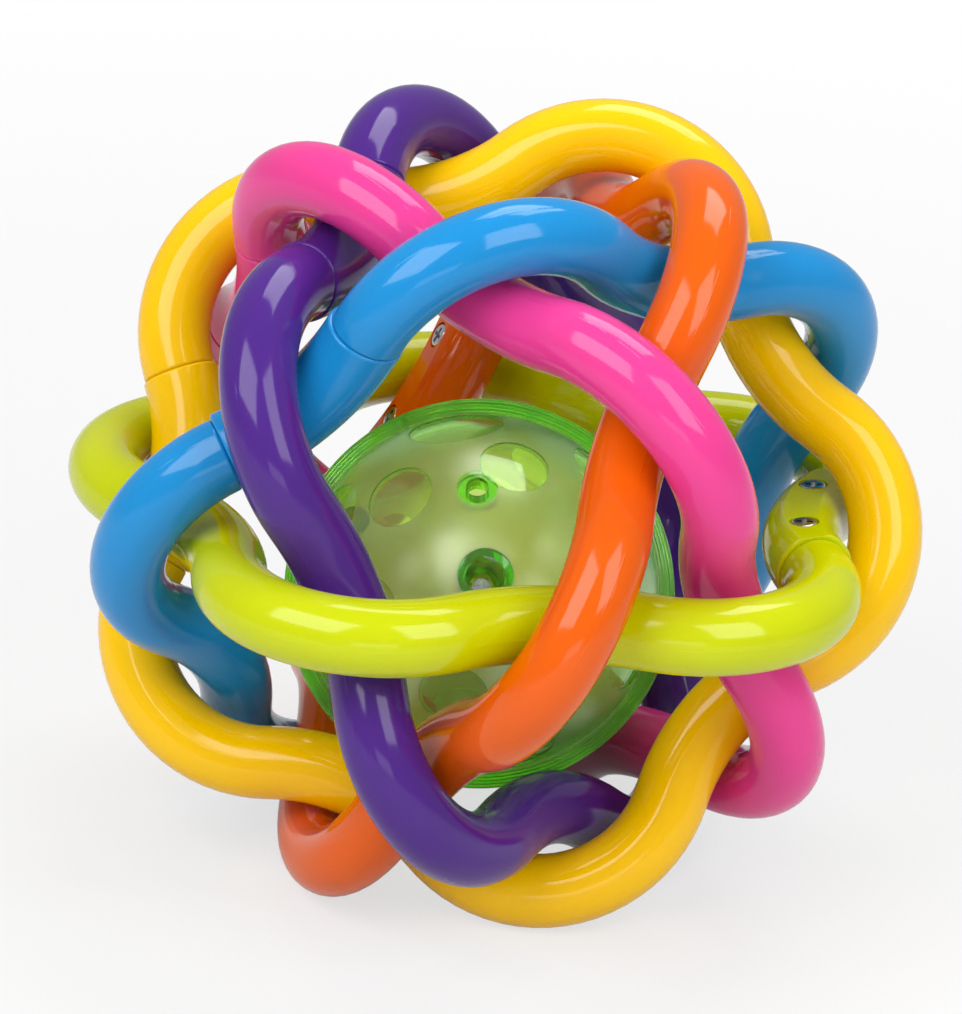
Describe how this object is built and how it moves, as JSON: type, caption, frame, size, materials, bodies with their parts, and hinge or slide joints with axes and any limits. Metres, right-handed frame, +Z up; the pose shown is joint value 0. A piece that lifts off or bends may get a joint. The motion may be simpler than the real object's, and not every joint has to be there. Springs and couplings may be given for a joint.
{
  "type": "woven rattle ball",
  "caption": "Baby's activity ball of wavy tube rings woven into an open cage, with a loose see-through rattle trapped inside.",
  "frame": {"origin": "middle of the footprint, at the level of the surface that the ball stands on", "axes": "+Z up along the level ring's axis; +X towards the level ring's link; -Y towards the side that the front shell of the rattle faces"},
  "size_m": [0.1404, 0.1364, 0.1232],
  "materials": {
    "lime_plastic": "high gloss",
    "yellow_plastic": "high gloss",
    "purple_plastic": "high gloss",
    "pink_plastic": "high gloss",
    "blue_plastic": "high gloss",
    "orange_plastic": "high gloss",
    "rattle_plastic": "see-through, satin with clear windows",
    "screw_chrome": "bright",
    "bead_orange": "gloss",
    "bead_yellow": "gloss",
    "bead_red": "gloss",
    "bead_green": "gloss"
  },
  "bodies": {
    "lime_ring": {"lime_loop": "lime_plastic", "lime_link": "lime_plastic", "lime_link_screw_left": "screw_chrome", "lime_link_screw_right": "screw_chrome"},
    "yellow_ring": {"yellow_loop": "yellow_plastic", "yellow_link": "yellow_plastic", "yellow_link_screw_left": "screw_chrome", "yellow_link_screw_right": "screw_chrome"},
    "purple_ring": {"purple_loop": "purple_plastic", "purple_link": "purple_plastic", "purple_link_screw_left": "screw_chrome", "purple_link_screw_right": "screw_chrome"},
    "pink_ring": {"pink_loop": "pink_plastic", "pink_link": "pink_plastic", "pink_link_screw_left": "screw_chrome", "pink_link_screw_right": "screw_chrome"},
    "blue_ring": {"blue_loop": "blue_plastic", "blue_link": "blue_plastic", "blue_link_screw_left": "screw_chrome", "blue_link_screw_right": "screw_chrome"},
    "orange_ring": {"orange_loop": "orange_plastic", "orange_link": "orange_plastic", "orange_link_screw_left": "screw_chrome", "orange_link_screw_right": "screw_chrome"},
    "rattle": {"rattle_front_shell": "rattle_plastic", "rattle_rear_shell": "rattle_plastic", "rattle_screw": "screw_chrome"},
    "bead_1_front": {"bead_1_front": "bead_orange"},
    "bead_1_rear": {"bead_1_rear": "bead_yellow"},
    "bead_2_front": {"bead_2_front": "bead_orange"},
    "bead_2_rear": {"bead_2_rear": "bead_red"},
    "bead_3_front": {"bead_3_front": "bead_yellow"},
    "bead_3_rear": {"bead_3_rear": "bead_green"},
    "bead_4_front": {"bead_4_front": "bead_red"},
    "bead_4_rear": {"bead_4_rear": "bead_orange"},
    "bead_5_front": {"bead_5_front": "bead_green"},
    "bead_5_rear": {"bead_5_rear": "bead_yellow"}
  },
  "joints": [
    {"name": "yellow_ring_turn", "type": "hinge", "parent": "lime_ring", "child": "yellow_ring", "pos_m": [0, 0, 0.0616], "axis": [0, -0.8944, 0.4472], "range_deg": [-1.5, 1.5]},
    {"name": "purple_ring_turn", "type": "hinge", "parent": "lime_ring", "child": "purple_ring", "pos_m": [0, 0, 0.0616], "axis": [0.8507, -0.2764, 0.4472], "range_deg": [-1.5, 1.5]},
    {"name": "pink_ring_turn", "type": "hinge", "parent": "lime_ring", "child": "pink_ring", "pos_m": [0, 0, 0.0616], "axis": [0.5257, 0.7236, 0.4472], "range_deg": [-1.5, 1.5]},
    {"name": "blue_ring_turn", "type": "hinge", "parent": "lime_ring", "child": "blue_ring", "pos_m": [0, 0, 0.0616], "axis": [-0.5257, 0.7236, 0.4472], "range_deg": [-1.5, 1.5]},
    {"name": "orange_ring_turn", "type": "hinge", "parent": "lime_ring", "child": "orange_ring", "pos_m": [0, 0, 0.0616], "axis": [-0.8507, -0.2764, 0.4472], "range_deg": [-1.5, 1.5]},
    {"name": "rattle_slide", "type": "slide", "parent": "lime_ring", "child": "rattle", "axis": [0, 0, 1], "range_m": [0, 0.03]},
    {"name": "bead_1_front_roll", "type": "hinge", "parent": "rattle", "child": "bead_1_front", "pos_m": [-0.0012, 0.0013, 0.0446], "axis": [0.9888, 0.1495, 0], "range_deg": [-35, 0]},
    {"name": "bead_1_rear_roll", "type": "hinge", "parent": "rattle", "child": "bead_1_rear", "pos_m": [-0.0012, 0.0013, 0.0446], "axis": [0.9888, 0.1495, 0], "range_deg": [0, 35]},
    {"name": "bead_2_front_roll", "type": "hinge", "parent": "rattle", "child": "bead_2_front", "pos_m": [-0.0012, 0.0013, 0.0446], "axis": [0.9888, 0.1495, 0], "range_deg": [-35, 0]},
    {"name": "bead_2_rear_roll", "type": "hinge", "parent": "rattle", "child": "bead_2_rear", "pos_m": [-0.0012, 0.0013, 0.0446], "axis": [0.9888, 0.1495, 0], "range_deg": [0, 35]},
    {"name": "bead_3_front_roll", "type": "hinge", "parent": "rattle", "child": "bead_3_front", "pos_m": [-0.0012, 0.0013, 0.0446], "axis": [0.9888, 0.1495, 0], "range_deg": [-35, 0]},
    {"name": "bead_3_rear_roll", "type": "hinge", "parent": "rattle", "child": "bead_3_rear", "pos_m": [-0.0012, 0.0013, 0.0446], "axis": [0.9888, 0.1495, 0], "range_deg": [0, 35]},
    {"name": "bead_4_front_roll", "type": "hinge", "parent": "rattle", "child": "bead_4_front", "pos_m": [-0.0012, 0.0013, 0.0446], "axis": [0.9888, 0.1495, 0], "range_deg": [-35, 0]},
    {"name": "bead_4_rear_roll", "type": "hinge", "parent": "rattle", "child": "bead_4_rear", "pos_m": [-0.0012, 0.0013, 0.0446], "axis": [0.9888, 0.1495, 0], "range_deg": [0, 35]},
    {"name": "bead_5_front_roll", "type": "hinge", "parent": "rattle", "child": "bead_5_front", "pos_m": [-0.0012, 0.0013, 0.0446], "axis": [0.9888, 0.1495, 0], "range_deg": [-35, 0]},
    {"name": "bead_5_rear_roll", "type": "hinge", "parent": "rattle", "child": "bead_5_rear", "pos_m": [-0.0012, 0.0013, 0.0446], "axis": [0.9888, 0.1495, 0], "range_deg": [0, 35]}
  ]
}
